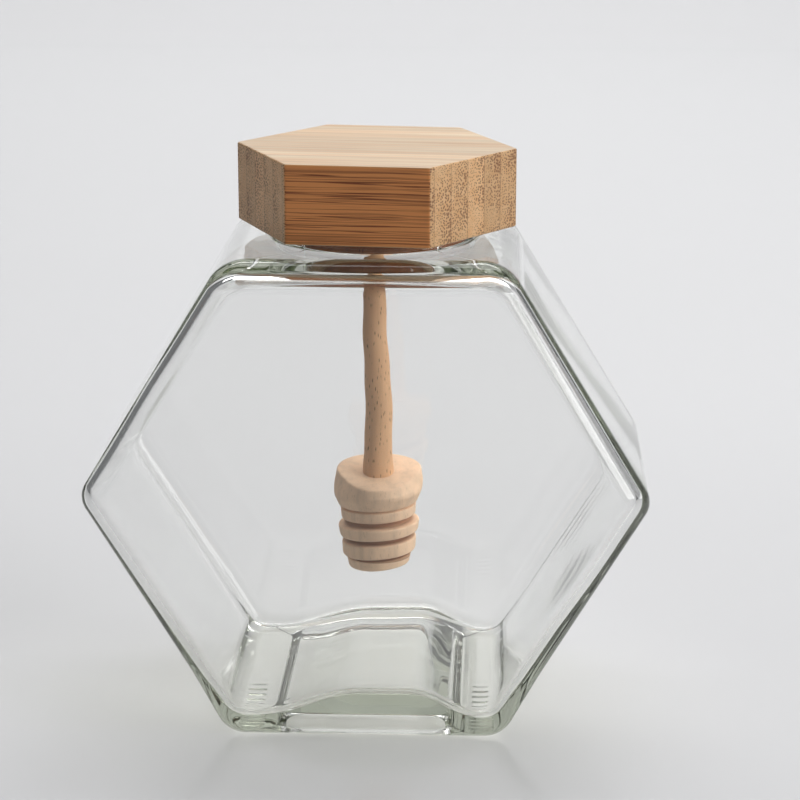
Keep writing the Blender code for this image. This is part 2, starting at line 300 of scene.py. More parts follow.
def push_up_rows(g, angles):
    """Rows from the middle of the underside out over the push-up's edge to the foot.

    Its wall is an S: a quarter turn out of the flat and a quarter turn onto the foot.
    """
    rows = []
    depth, lean_x, lean_y = g.recess_depth, g.recess_side, g.recess_end
    flat_x, flat_y = g.recess_half_x - lean_x, g.recess_half_y - lean_y
    even = np.linspace(0, math.pi / 2, len(angles))
    for share in (0.03, 0.15, 0.3, 0.45, 0.6, 0.72, 0.82, 0.9, 0.96):
        weight = smooth((share - 0.4) / 0.56)
        rows.append(rounded_box_row(flat_x * share, flat_y * share, g.recess_round * share,
                                    depth, angles * weight + even * (1 - weight)))
    for turn in np.radians(np.linspace(0, 90, 9)):
        grow, drop = 0.5 * math.sin(turn), 0.5 * (1 - math.cos(turn))
        rows.append(rounded_box_row(flat_x + lean_x * grow, flat_y + lean_y * grow,
                                    g.recess_round, depth * (1 - drop), angles))
    for turn in np.radians(np.linspace(10, 90, 9)):
        grow, drop = 1 - 0.5 * math.cos(turn), 0.5 + 0.5 * math.sin(turn)
        rows.append(rounded_box_row(flat_x + lean_x * grow, flat_y + lean_y * grow,
                                    g.recess_round, depth * (1 - drop), angles))
    return [np.stack([row[i] for row in rows]) for i in range(3)]


def rib_lift(g, rings):
    """Grip ribs: shallow grooves across the front half of the two heels, a cosine along the
    depth. Gives how far each point of the rings is lifted."""
    x, y, z = np.abs(rings[..., 0]), -rings[..., 1], rings[..., 2]
    across = smooth((x - g.rib_inner) / 0.0008) * smooth((g.rib_outer - x) / 0.0012)
    along = smooth((g.recess_half_y - 0.001 - y) / 0.001) * smooth((y - 0.003) / 0.008)
    wave = 0.5 - 0.5 * np.cos(2 * math.pi * y / g.rib_pitch)
    low = z < g.foot_round / 2
    return g.rib_depth * across * along * wave * low


def floor_lift(g, x):
    """How far the inside floor stands above its heels: a ridge from front to back over the
    push-up, the product of a smooth step up its left flank and one down its right flank."""
    climb = smooth((x + g.ridge_left) / g.ridge_climb)
    fall = smooth((g.ridge_right - x) / g.ridge_fall)
    return g.ridge_rise * climb * fall


def neck_shares(count, blend, neck):
    """Share of the mouth's sideways shift that each row takes: all of it on the mouth's own
    rows, which come last, and even steps up to it on the rows that lead there."""
    shares = np.zeros(count)
    last = len(neck[0])
    lead = len(blend[0])
    shares[count - last:] = 1.0
    shares[count - last - lead:count - last] = np.linspace(0, 1, lead + 2)[1:-1]
    return shares


def outside_rows(g):
    """Quarter rows of the outer skin, from the middle of the underside up to the lip."""
    outline = HexOutline(g, 0.0, 0.0, g.body_height,
                         (g.top_round, g.side_round, g.foot_round))
    roll = (g.foot_edge, g.face_round)
    levels = quarter_section(outline, g.body_depth, roll, g.edge_climb,
                             level_heights(outline, roll))
    foot = [levels[i][:1] for i in range(3)]
    foot_angles = np.arctan2(foot[1], foot[0])
    under = push_up_rows(g, foot_angles[0])
    edge = [under[i][-1:] for i in range(3)]
    heel = blend_rows(edge, foot, 18)
    top = [levels[i][-1:] for i in range(3)]
    angles = np.arctan2(top[1], top[0])
    fillet = arc_points((g.neck_radius + g.neck_fillet, g.body_height + g.neck_fillet),
                        g.neck_fillet, 270, 180, 6)
    lip = arc_points((g.neck_radius - g.lip_round, g.neck_top - g.lip_round), g.lip_round,
                     0, 90, 6)
    profile = np.concatenate([fillet, lip])
    neck = round_rows(profile[:, 0], profile[:, 1], angles)
    shoulder = blend_rows(top, [neck[i][:1] for i in range(3)], 3)
    rows = join_rows([under, heel, levels, shoulder, neck])
    return rows, neck_shares(len(rows[0]), shoulder, neck), angles


def inside_rows(g, angles):
    """Quarter rows of the inner skin, from the lip down to the middle of the floor."""
    ceiling = g.body_height - g.ceiling
    lip = arc_points((g.bore_radius + g.lip_round, g.neck_top - g.lip_round), g.lip_round,
                     90, 180, 6)
    flare = arc_points((g.bore_radius + g.bore_flare, ceiling + g.bore_flare), g.bore_flare,
                       180, 262, 10)
    profile = np.concatenate([lip, flare])
    bore = round_rows(profile[:, 0], profile[:, 1], angles)
    outline = HexOutline(g, g.wall, g.floor, ceiling,
                         (g.inner_top_round, g.inner_side_round, g.inner_foot_round))
    roll = (g.inner_face_round, g.inner_face_round)
    heights = level_heights(outline, roll)[::-1]
    depth = g.body_depth - 2 * g.wall
    levels = quarter_section(outline, depth, roll, g.edge_climb, heights)
    top = [levels[i][:1] for i in range(3)]
    roof = blend_rows([bore[i][-1:] for i in range(3)], top, 3)
    floor_edge = [levels[i][-1:] for i in range(3)]
    even = np.linspace(0, math.pi / 2, floor_edge[0].shape[1])[None, :]
    reach_x, reach_y = 0.45 * floor_edge[0].max(), 0.45 * floor_edge[1].max()
    oval = [reach_x * np.cos(even), reach_y * np.sin(even), floor_edge[2]]
    middle = [oval[0] * 0.04, oval[1] * 0.04, floor_edge[2]]
    floor = join_rows([blend_rows(floor_edge, oval, 26), oval, blend_rows(oval, middle, 18),
                       middle])
    rows = join_rows([bore, roof, levels, floor])
    return rows, neck_shares(len(rows[0]), roof, bore)[::-1]


def closed_surface(name, rings, start, end):
    """Mesh of stacked rings, closed with a fan at both ends. Faces point out of the solid
    when the rings run anticlockwise from above and climb the outer side."""
    count, size = rings.shape[:2]
    points = np.concatenate([rings.reshape(-1, 3), [start], [end]])
    row, step = np.meshgrid(np.arange(count - 1), np.arange(size), indexing="ij")
    after = (step + 1) % size
    quads = np.stack([row * size + step, row * size + after, (row + 1) * size + after,
                      (row + 1) * size + step], -1).reshape(-1, 4)
    step = np.arange(size)
    after = (step + 1) % size
    first, last = count * size, count * size + 1
    base = (count - 1) * size
    fan_a = np.stack([after, step, np.full(size, first)], 1)
    fan_b = np.stack([base + step, base + after, np.full(size, last)], 1)
    mesh = bpy.data.meshes.new(name)
    mesh.from_pydata(points.tolist(), [], quads.tolist() + fan_a.tolist() + fan_b.tolist())
    mesh.polygons.foreach_set("use_smooth", np.ones(len(mesh.polygons), bool))
    mesh.update()
    return mesh


def glass_mesh(g):
    """The whole jar as one closed skin: up the outside, over the lip and down the inside.

    Every ring is a level cut, so the shape is a function of the place along that path and
    of the place round the ring. The inside is raised by the floor's ridge. Below the side
    corners it narrows by a smooth step, which thickens the slopes. Then it gets a slow wobble
    of thickness, a sum of sines.
    """
    outer, outer_shares, angles = outside_rows(g)
    inner, inner_shares = inside_rows(g, angles)
    outside = whole_ring(*outer)
    outside[..., 2] += rib_lift(g, outside)
    inside = whole_ring(*inner)
    low = smooth((g.floor + 0.020 - inside[..., 2]) / 0.020)
    inside[..., 2] += floor_lift(g, inside[..., 0]) * low
    narrow = smooth((g.corner_height - inside[..., 2]) / g.corner_height) * g.sag
    inside[..., 0] *= 1 - narrow
    inside[..., 0] -= g.lean * smooth((g.body_height - inside[..., 2]) / g.corner_height)
    x, y, z = inside[..., 0] / MM, inside[..., 1] / MM, inside[..., 2] / MM
    sway = (np.sin(x / 9.0 + 0.7) * np.sin(z / 11.0 + 0.4) + 0.6 * np.sin(x / 5.3 + z / 7.1)
            + 0.5 * np.sin(y / 6.0 + z / 8.5 + 1.3))
    fade = smooth((g.body_height / MM - g.ceiling / MM - 1 - z) / 8)
    lengths = np.linalg.norm(inside - (0, 0, g.corner_height), axis=-1, keepdims=True)
    outward = (inside - (0, 0, g.corner_height)) / lengths
    inside = inside + outward * (sway * fade * g.wobble)[..., None]
    rings = np.concatenate([outside, inside])
    rings[..., 0] += g.neck_shift * np.concatenate([outer_shares, inner_shares])[:, None]
    return closed_surface("jar_glass_blown", rings, rings[0].mean(0), rings[-1].mean(0))


class DipperSettings(PropertyGroup):
    """Sizes of the turned dipper and its plug."""

    top_tilt: FloatProperty(name="Top tilt", description="Slope of the head's sawn top",
                            default=math.radians(10.3), subtype="ANGLE")
    ring_slope: FloatProperty(name="Ring slope", description="Slope of the rings to the side",
                              default=math.radians(4.5), subtype="ANGLE")
    lean: length("Lean", "How far the head hangs to the right of the stick's top", 0.0009)
    top_radius: length("Stick top", "Radius of the stick under the plug", 0.0022)
    foot_radius: length("Stick foot", "Radius of the stick at the head", 0.0034)
    foot_flare: length("Foot flare", "Part of that radius gained at the very foot", 0.0003)
    stick_bend: length("Stick bend", "Sideways bow of the stick", 0.00038)
    stick_ripple: length("Stick ripple", "Finer unevenness along it", 0.00010)
    ring_edge: length("Ring edge", "Softening of the turned edges", 0.0005)
    plug_edge: length("Plug edge", "Softening of the plug's edges", 0.0008)
    top_depth: length("Top depth", "How deep the sawn top's slope reaches", 0.0055)
    point_depth: length("Point depth", "How deep the top's outline reaches", 0.0050)
    steps: IntProperty(name="Steps", description="Points round each turned piece", default=96,
                       min=12)
    beech: colour("Beech", "Pale wood of the head", "F3CFAE")
    # Painted shade down in the head's grooves, partly the scorch a turning tool leaves
    groove_shade: colour("Groove_shade", "Darker wood down in the grooves", "A87650")
    stick: colour("Stick", "Browner wood of the stick", "E4B488")
    # Plug colours: the wood's own brown, darkened with painted shade from under the lid
    plug: colour("Plug", "Dark wood of the plug", "A4602E")
    head_fleck: colour("Head flecks", "Short rays in the head's wood", "B08A62")
    stick_fleck: colour("Stick flecks", "Short rays in the stick's wood", "6E4626")
    plug_fleck: colour("Plug flecks", "Short rays in the plug's wood", "3A1C0E")


class LidSettings(PropertyGroup):
    """Sizes and colours of the bamboo lid."""

    corner_radius: length("Corner radius", "Centre to corner", 0.02987)
    turn: FloatProperty(name="Turn", description="Turn of the lid on the jar",
                        default=math.radians(-5.9), subtype="ANGLE")
    edge: length("Edge", "Softening of the sawn edges", 0.00035)
    strip: length("Strip", "Thickness of one glued strip", 0.0049)
    strip_start: FloatProperty(name="Strip start", description="Strips before the middle",
                               default=40.02)
    fibre: length("Fibre bundle", "Spacing of the fibre bundles", 0.0005882)
    drift: length("Drift", "How far the fibres wander up and down", 0.0011)
    # Top and Deep go by which way a face points: the paler top is painted sheen, and the deeper
    # orange of the broad faces is partly painted shade, partly the bamboo's own colour
    top: colour("Top", "Ground colour of the sanded top", "E6CFB0")
    pale: colour("Pale", "Ground colour of the sawn ends", "EABF8E")
    honey: colour("Honey", "Its darker clouds", "DCA670")
    deep: colour("Deep", "Ground colour of the broad front and back", "EC9C5C")
    brown: colour("Brown", "Grain lines and glue joints", "6C3012")
    bundle: colour("Bundle", "Fibre bundles", "7C4826")


class StudioSettings(PropertyGroup):
    """Camera, lights and table."""

    camera_place: FloatVectorProperty(name="Camera", description="Place of the camera", size=3,
                                      default=(0.0270, -0.5307, 0.2102), unit="LENGTH")
    camera_tilt: FloatProperty(name="Tilt", description="How far the camera looks down",
                               default=math.radians(15.24), subtype="ANGLE")
    camera_pan: FloatProperty(name="Pan", description="How far the camera looks left",
                              default=math.radians(2.23), subtype="ANGLE")
    lens: FloatProperty(name="Lens", description="Focal length in mm on a 36 mm sensor",
                        default=114.4)
    sweep_half: length("Table half width", "Half width of table and backdrop", 1.0)
    table_drop: length("Table drop", "Air left between the foot and the table", 0.00012)
    table: colour("Table", "Colour of the glossy table", "D6D6D7")
    room: colour("Room", "Even light of the room", "6C6D6F")
    key_power: FloatProperty(name="Key", description="Softbox on the right", default=5.4,
                             unit="POWER")
    overhead_power: FloatProperty(name="Overhead", description="Softbox above and behind",
                                  default=6.0, unit="POWER")
    backdrop_power: FloatProperty(name="Backdrop", description="Softbox on the backdrop",
                                  default=22.2, unit="POWER")


def node(tree, kind, inputs=None, **settings):
    """Adds a node with its settings; an input is a value or a (node, output) pair."""
    made = tree.nodes.new(kind)
    for key, value in settings.items():
        setattr(made, key, value)
    for key, value in (inputs or {}).items():
        if isinstance(value, tuple) and isinstance(value[0], bpy.types.Node):
            tree.links.new(value[0].outputs[value[1]], made.inputs[key])
        else:
            made.inputs[key].default_value = value
    return made


def new_material(name):
    """An empty node material and its output node."""
    material = bpy.data.materials.new(name)
    material.use_nodes = True
    material.node_tree.nodes.clear()
    output = material.node_tree.nodes.new("ShaderNodeOutputMaterial")
    return material, material.node_tree, output


def per_metre(*sizes):
    """How often each size in millimetres goes into a metre, as a pattern's scale."""
    return tuple(1000 / size for size in sizes)


def glass_material(g):
    """Flint glass, blown in a mould: clear, with a faint grey-green where it is thick.

    Light on its way from a lamp goes straight through and loses a little, so the jar lays a
    pale soft shadow instead of a black one.
    """
    material, tree, output = new_material("flint_glass")
    shader = node(tree, "ShaderNodeBsdfPrincipled", {
        "Base Color": (1.0, 1.0, 1.0, 1.0), "Roughness": 0.0, "IOR": 1.52,
        "Transmission Weight": 1.0})
    clear = node(tree, "ShaderNodeBsdfTransparent", {"Color": (*g.shade, 1.0)})
    path = node(tree, "ShaderNodeLightPath")
    lit = node(tree, "ShaderNodeMixShader", {
        0: (path, "Is Shadow Ray"), 1: (shader, 0), 2: (clear, 0)})
    depth = node(tree, "ShaderNodeVolumeAbsorption", {
        "Color": (*g.tint, 1.0), "Density": g.tint_gain})
    tree.links.new(lit.outputs[0], output.inputs["Surface"])
    tree.links.new(depth.outputs[0], output.inputs["Volume"])
    return material


def bamboo_material(s):
    """Laminated bamboo, sawn and sanded: strips side by side, long fibres along the front.

    The fibre bundles are rods along the grain, cells of a flat pattern in the two other
    directions. The sawn ends show them as dots, the front and top as thin lines that come
    and go. Each strip shifts the pattern, so the joints between strips show. The ground
    colour goes by which way a face points: the paler top is painted sheen, and the deeper
    orange of the broad front and back is partly painted shade, partly the bamboo's own colour.
    """
    material, tree, output = new_material("laminated_bamboo")
    place = node(tree, "ShaderNodeTexCoord")
    turned = node(tree, "ShaderNodeMapping", {
        "Vector": (place, "Object"), "Rotation": (0, 0, -s.turn)}, vector_type="POINT")
    split = node(tree, "ShaderNodeSeparateXYZ", {"Vector": (turned, 0)})
    strip = node(tree, "ShaderNodeMath", {
        0: (split, "Y"), 1: 1 / s.strip, 2: s.strip_start}, operation="MULTIPLY_ADD")
    number = node(tree, "ShaderNodeMath", {0: (strip, 0)}, operation="FLOOR")
    within = node(tree, "ShaderNodeMath", {0: (strip, 0)}, operation="FRACT")
    draw = node(tree, "ShaderNodeTexWhiteNoise", {"W": (number, 0)}, noise_dimensions="1D")
    drift_space = node(tree, "ShaderNodeMapping", {
        "Vector": (turned, 0), "Scale": per_metre(22.2, 3.333, 3.333)})
    drift = node(tree, "ShaderNodeTexNoise", {
        "Vector": (drift_space, 0), "Scale": 1.0, "Detail": 1.0})
    drifted = node(tree, "ShaderNodeMath", {
        0: (drift, "Fac"), 1: s.drift, 2: (split, "Z")}, operation="MULTIPLY_ADD")
    across = node(tree, "ShaderNodeMath", {0: (draw, "Value"), 1: 0.31, 2: (split, "Y")},
                  operation="MULTIPLY_ADD")
    rods = node(tree, "ShaderNodeCombineXYZ", {"X": (across, 0), "Y": (drifted, 0), "Z": 0.0})
    bundles = node(tree, "ShaderNodeTexVoronoi", {
        "Vector": (rods, 0), "Scale": 1 / s.fibre, "Randomness": 0.8},
        voronoi_dimensions="2D")
    crowd = node(tree, "ShaderNodeMapRange", {
        "Value": (within, 0), "To Min": 0.20, "To Max": 0.42})
    run_space = node(tree, "ShaderNodeMapping", {
        "Vector": (turned, 0), "Scale": per_metre(14.29, 5.556, 5.556)})
    run = node(tree, "ShaderNodeTexNoise", {"Vector": (run_space, 0), "Scale": 1.0,
                                            "Detail": 1.0})
    width = node(tree, "ShaderNodeMapRange", {
        "Value": (run, "Fac"), "From Min": 0.3, "From Max": 0.7, "To Min": 0.45,
        "To Max": 1.25})
    size = node(tree, "ShaderNodeMath", {0: (crowd, 0), 1: (width, 0)}, operation="MULTIPLY")
    dots = node(tree, "ShaderNodeMath", {0: (bundles, "Distance"), 1: (size, 0)},
                operation="DIVIDE")
    dot_mask = node(tree, "ShaderNodeMapRange", {
        "Value": (dots, 0), "From Min": 0.6, "From Max": 1.3, "To Min": 1.0, "To Max": 0.0})
    streak_space = node(tree, "ShaderNodeMapping", {
        "Vector": (turned, 0), "Scale": per_metre(125, 1.429, 1.111)})
    streaks = node(tree, "ShaderNodeTexNoise", {
        "Vector": (streak_space, 0), "Scale": 1.0, "Detail": 2.0, "Roughness": 0.55})
    streak_side = node(tree, "ShaderNodeMath", {0: (streaks, "Fac"), 1: 0.5},
                       operation="SUBTRACT")
    streak_off = node(tree, "ShaderNodeMath", {0: (streak_side, 0)}, operation="ABSOLUTE")
    streak_mask = node(tree, "ShaderNodeMapRange", {
        "Value": (streak_off, 0), "From Min": 0.006, "From Max": 0.022, "To Min": 1.0,
        "To Max": 0.0})
    cloud_space = node(tree, "ShaderNodeMapping", {
        "Vector": (turned, 0), "Scale": per_metre(50, 1.786, 1.786)})
    cloud = node(tree, "ShaderNodeTexNoise", {"Vector": (cloud_space, 0), "Scale": 1.0})
    direction = node(tree, "ShaderNodeMapping", {
        "Vector": (place, "Normal"), "Rotation": (0, 0, -s.turn)}, vector_type="NORMAL")
    face = node(tree, "ShaderNodeSeparateXYZ", {"Vector": (direction, 0)})
    facing = node(tree, "ShaderNodeMath", {0: (face, "Y")}, operation="ABSOLUTE")
    broad = node(tree, "ShaderNodeMapRange", {
        "Value": (facing, 0), "From Min": 0.80, "From Max": 0.95})
    along = node(tree, "ShaderNodeMath", {0: (face, "X")}, operation="ABSOLUTE")
    sawn = node(tree, "ShaderNodeMapRange", {
        "Value": (along, 0), "From Min": 0.3, "From Max": 0.6})
    upright = node(tree, "ShaderNodeMath", {0: (face, "Z")}, operation="ABSOLUTE")
    level = node(tree, "ShaderNodeMapRange", {
        "Value": (upright, 0), "From Min": 0.80, "From Max": 0.95})
    # Painted light: faces that point up get the paler top colour as painted sheen, and the broad
    # front and back get the deeper orange, partly painted shade
    light = node(tree, "ShaderNodeMix", {
        "Factor": (level, 0), 6: (*s.pale, 1.0), 7: (*s.top, 1.0)}, data_type="RGBA")
    patch = node(tree, "ShaderNodeMapRange", {
        "Value": (cloud, "Fac"), "From Min": 0.35, "From Max": 0.75, "To Max": 0.6})
    ground = node(tree, "ShaderNodeMix", {
        "Factor": (patch, 0), 6: (light, 2), 7: (*s.honey, 1.0)}, data_type="RGBA")
    deep = node(tree, "ShaderNodeMix", {
        "Factor": (broad, 0), 6: (ground, 2), 7: (*s.deep, 1.0)}, data_type="RGBA")
    tone = node(tree, "ShaderNodeMapRange", {
        "Value": (draw, "Value"), "To Min": 0.86, "To Max": 1.08})
    toned = node(tree, "ShaderNodeVectorMath", {0: (deep, 2), "Scale": (tone, 0)},
                 operation="SCALE")
    streak_gain = node(tree, "ShaderNodeMapRange", {
        "Value": (broad, 0), "To Min": 0.16, "To Max": 0.85})
    streak_part = node(tree, "ShaderNodeMath", {0: (streak_mask, 0), 1: (streak_gain, 0)},
                       operation="MULTIPLY")
    lined = node(tree, "ShaderNodeMix", {
        "Factor": (streak_part, 0), 6: (toned, 0), 7: (*s.brown, 1.0)}, data_type="RGBA")
    sawn_gain = node(tree, "ShaderNodeMapRange", {
        "Value": (sawn, 0), "To Min": 0.14, "To Max": 0.78})
    front_gain = node(tree, "ShaderNodeMath", {0: (broad, 0), 1: 0.30, 2: (sawn_gain, 0)},
                      operation="MULTIPLY_ADD")
    dot_part = node(tree, "ShaderNodeMath", {0: (dot_mask, 0), 1: (front_gain, 0)},
                    operation="MULTIPLY")
    dotted = node(tree, "ShaderNodeMix", {
        "Factor": (dot_part, 0), 6: (lined, 2), 7: (*s.bundle, 1.0)}, data_type="RGBA")
    seam_side = node(tree, "ShaderNodeMath", {0: (within, 0), 1: 0.5}, operation="SUBTRACT")
    seam_off = node(tree, "ShaderNodeMath", {0: (seam_side, 0)}, operation="ABSOLUTE")
    seam_mask = node(tree, "ShaderNodeMapRange", {
        "Value": (seam_off, 0), "From Min": 0.46, "From Max": 0.5, "To Max": 0.36})
    finished = node(tree, "ShaderNodeMix", {
        "Factor": (seam_mask, 0), 6: (dotted, 2), 7: (*s.brown, 1.0)}, data_type="RGBA")
    height = node(tree, "ShaderNodeMath", {0: (dot_part, 0), 1: (streak_part, 0)},
                  operation="ADD")
    bump = node(tree, "ShaderNodeBump", {
        "Height": (height, 0), "Strength": 0.35, "Distance": 0.0001}, invert=True)
    shader = node(tree, "ShaderNodeBsdfPrincipled", {
        "Base Color": (finished, 2), "Roughness": 0.46, "IOR": 1.46,
        "Normal": (bump, 0)})
    tree.links.new(shader.outputs[0], output.inputs["Surface"])
    return material


GROOVE_HEIGHTS = (0.0306, 0.0431)   # run of heights with grooves on the dipper's head, which take painted shade
GROOVE_RADII = (0.0066, 0.0079)     # radius of the grooves' floors and of the rings' sides


def turned_wood_material(name, ground, fleck, fleck_gain, axis_x, groove_shade=None):
    """Turned, unfinished beech: an even pale ground with short dark ray flecks along it.

    The last argument, if given, is a darker colour painted down in the grooves: painted shade,
    partly the scorch that a turning tool leaves. It covers wood nearer the axis than the rings'
    crests, over the heights that the grooves take.
    """
    material, tree, output = new_material(name)
    place = node(tree, "ShaderNodeTexCoord")
    centred = node(tree, "ShaderNodeMapping", {
        "Vector": (place, "Object"), "Location": (-axis_x, 0, 0)})
    fleck_space = node(tree, "ShaderNodeMapping", {
        "Vector": (centred, 0), "Scale": per_metre(0.5263, 0.5263, 2.326)})
    flecks = node(tree, "ShaderNodeTexVoronoi", {
        "Vector": (fleck_space, 0), "Scale": 1.0, "Randomness": 1.0})
    fleck_mask = node(tree, "ShaderNodeMapRange", {
        "Value": (flecks, "Distance"), "From Min": 0.10, "From Max": 0.26,
        "To Min": fleck_gain, "To Max": 0.0})
    grain_space = node(tree, "ShaderNodeMapping", {
        "Vector": (centred, 0), "Scale": per_metre(2.381, 2.381, 38.46)})
    grain = node(tree, "ShaderNodeTexNoise", {
        "Vector": (grain_space, 0), "Scale": 1.0, "Detail": 4.0, "Roughness": 0.6})
    shade = node(tree, "ShaderNodeValToRGB", {"Fac": (grain, "Fac")})
    stops = shade.color_ramp.elements
    stops.new(0.5)
    for stop, place, gain in zip(stops, (0.30, 0.5, 0.72), (0.86, 1.0, 1.08)):
        stop.position = place
        stop.color = (*(min(1.0, c * gain) for c in ground), 1.0)
    flecked = node(tree, "ShaderNodeMix", {
        "Factor": (fleck_mask, 0), 6: (shade, 0), 7: (*fleck, 1.0)}, data_type="RGBA")
    # Painted shade in the grooves, partly tool scorch: darker wood nearer the axis than the crests
    if groove_shade is not None:
        low, high = GROOVE_HEIGHTS
        split = node(tree, "ShaderNodeSeparateXYZ", {"Vector": (centred, 0)})
        flat = node(tree, "ShaderNodeCombineXYZ", {"X": (split, "X"), "Y": (split, "Y")})
        radius = node(tree, "ShaderNodeVectorMath", {0: (flat, 0)}, operation="LENGTH")
        deep = node(tree, "ShaderNodeMapRange", {
            "Value": (radius, "Value"), "From Min": GROOVE_RADII[0],
            "From Max": GROOVE_RADII[1], "To Min": 1.0, "To Max": 0.0})
        above = node(tree, "ShaderNodeMath", {0: (split, "Z"), 1: low},
                     operation="GREATER_THAN")
        below = node(tree, "ShaderNodeMath", {0: (split, "Z"), 1: high}, operation="LESS_THAN")
        within = node(tree, "ShaderNodeMath", {0: (above, 0), 1: (below, 0)},
                      operation="MULTIPLY")
        share = node(tree, "ShaderNodeMath", {0: (within, 0), 1: (deep, 0)},
                     operation="MULTIPLY")
        flecked = node(tree, "ShaderNodeMix", {
            "Factor": (share, 0), 6: (flecked, 2), 7: (*groove_shade, 1.0)}, data_type="RGBA")
    bump = node(tree, "ShaderNodeBump", {
        "Height": (grain, "Fac"), "Strength": 0.3, "Distance": 0.0002})
    shader = node(tree, "ShaderNodeBsdfPrincipled", {
        "Base Color": (flecked, 2), "Roughness": 0.62, "IOR": 1.46, "Normal": (bump, 0)})
    tree.links.new(shader.outputs[0], output.inputs["Surface"])
    return material


def table_material(colour_value):
    """Lacquered white table top: even pale paint under a gloss that mirrors softly."""
    material, tree, output = new_material("lacquered_table")
    shader = node(tree, "ShaderNodeBsdfPrincipled", {
        "Base Color": (*colour_value, 1.0), "Roughness": 0.20, "IOR": 1.45})
    tree.links.new(shader.outputs[0], output.inputs["Surface"])
    return material


def add_piece(name, mesh, material, slot, *nodes):
    """Puts a finished mesh in the scene on the jar's body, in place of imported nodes."""
    piece = bpy.data.objects.new(name, mesh)
    bpy.context.scene.collection.objects.link(piece)
    mesh.materials.append(material)
    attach(piece, BODY)
    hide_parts(*nodes)
    return piece


def turned_mesh(name, profile, centre_x, steps, shape=None):
    """A profile of radius and height, bottom to top, carried round an upright axis.

    shape, if given, takes the arrays x, y and z and returns them changed.
    """
    turn = np.linspace(0, 2 * math.pi, steps, endpoint=False)
    radius, height = np.array(profile)[:, :1], np.array(profile)[:, 1:]
    x, y = radius * np.cos(turn), radius * np.sin(turn)
    z = height + 0 * x
    if shape is not None:
        x, y, z = shape(x, y, z)
    rings = np.stack([x + centre_x, y, z], -1)
    return closed_surface(name, rings, rings[0].mean(0), rings[-1].mean(0))


def soft_corner(before, corner, after, radius, steps=4):
    """Points of a rounded corner between two straight runs of a profile: a quadratic curve
    that starts and ends one radius away from the corner and is drawn towards it."""
    before, corner, after = (np.array(p, float) for p in (before, corner, after))
    a = corner + (before - corner) / np.linalg.norm(before - corner) * radius
    b = corner + (after - corner) / np.linalg.norm(after - corner) * radius
    t = np.linspace(0, 1, steps + 1)[:, None]
    return (a * (1 - t) ** 2 + 2 * corner * t * (1 - t) + b * t ** 2).tolist()


def soften(points, radius):
    """A profile whose inner corners are all rounded by the same small radius."""
    made = [points[0]]
    for before, corner, after in zip(points, points[1:], points[2:]):
        reach = min(radius, 0.45 * math.dist(before, corner), 0.45 * math.dist(corner, after))
        made += soft_corner(before, corner, after, reach)
    return made + [points[-1]]


# Height and radius up the turned head, in mm: five rings, two of the grooves deep.
HEAD_PROFILE = (
    (28.6, 0.2), (28.6, 6.5), (30.9, 7.0), (31.0, 6.3), (31.5, 6.4),
    (31.6, 7.9), (34.7, 8.1), (34.9, 6.3), (35.9, 6.4),
    (36.0, 8.5), (38.5, 8.9), (38.7, 6.6), (39.8, 6.7),
    (39.9, 8.1), (42.3, 8.3), (42.4, 7.6), (42.8, 7.7),
    (42.9, 8.6), (45.4, 9.7), (47.0, 9.9), (49.7, 9.4), (49.7, 0.2),
)


def head_mesh(d):
    """The dipper's head: rings turned by hand, so each wanders a little, and a top sawn on
    a slope: the height there is raised by depth times the tangent of the tilt. The top's
    outline is drawn to a blunt point at the front by a cosine of three times the angle."""
    points = [(radius * MM, height * MM) for height, radius in HEAD_PROFILE]
    profile = np.array(soften(points, d.ring_edge))
    middle = points[-1][1]

    def shape(x, y, z):
        turn = np.arctan2(y, x)
        from_front = turn + math.pi / 2
        top = smooth((z - (middle - d.point_depth)) / d.point_depth)
        wander = (1 + 0.010 * np.sin(3 * turn + z / 0.004) + 0.006 * np.sin(5 * turn + z / 0.0027)
                  + 0.060 * top * (np.cos(3 * from_front) - 0.75))
        lift = smooth((z - (middle - d.top_depth)) / d.top_depth) * y * math.tan(d.top_tilt)
        slope = x * math.tan(d.ring_slope) * (1 - top)
        return x * wander + d.lean / 2, y * wander, z + lift + slope

    fine = np.concatenate([np.linspace(a, b, 3)[:-1] for a, b in zip(profile, profile[1:])])
    return turned_mesh("dipper_head_turned", np.concatenate([fine, profile[-1:]]), LID_AXIS_X,
                       d.steps, shape)


def handle_mesh(d):
    """The stick: it widens towards the head by a power of 0.8 and flares at its foot. It bends
    by two sines along its length, held at both ends by a third."""
    low, high = HANDLE_LOW.z, HANDLE_HIGH.z
    seat = HEAD_PROFILE[-1][0] * MM
    z = np.concatenate([np.linspace(low, seat, 4), np.linspace(seat, PLUG_LOW.z, 40)[1:],
                        np.linspace(PLUG_LOW.z, high, 4)[1:]])
    share = np.clip((PLUG_LOW.z - z) / (PLUG_LOW.z - seat), 0, 1)
    radius = d.top_radius + (d.foot_radius - d.foot_flare - d.top_radius) * share ** 0.8
    radius = radius + d.foot_flare * smooth((share - 0.9) / 0.1)
    profile = np.stack([radius, z], 1)
    closed = np.concatenate([[(AXIS_RADIUS, low)], profile, [(AXIS_RADIUS, high)]])

    def shape(x, y, z):
        along = np.clip((z - seat) / (PLUG_LOW.z - seat), 0, 1)
        held = np.sin(math.pi * along)
        bend = held * (d.stick_bend * np.sin(2.3 * math.pi * along)
                       + d.stick_ripple * np.sin(9.0 * math.pi * along))
        return x + bend + d.lean * (0.5 - along), y, z

    return turned_mesh("dipper_handle_turned", closed, LID_AXIS_X, 40, shape)


def plug_mesh(d):
    """The plug: a short turned disc with softened edges."""
    radius = (PLUG_HIGH.x - PLUG_LOW.x) / 2
    points = [(AXIS_RADIUS, PLUG_LOW.z), (radius, PLUG_LOW.z), (radius, PLUG_HIGH.z),
              (AXIS_RADIUS, PLUG_HIGH.z)]
    return turned_mesh("lid_plug_turned", soften(points, d.plug_edge), LID_AXIS_X, d.steps)


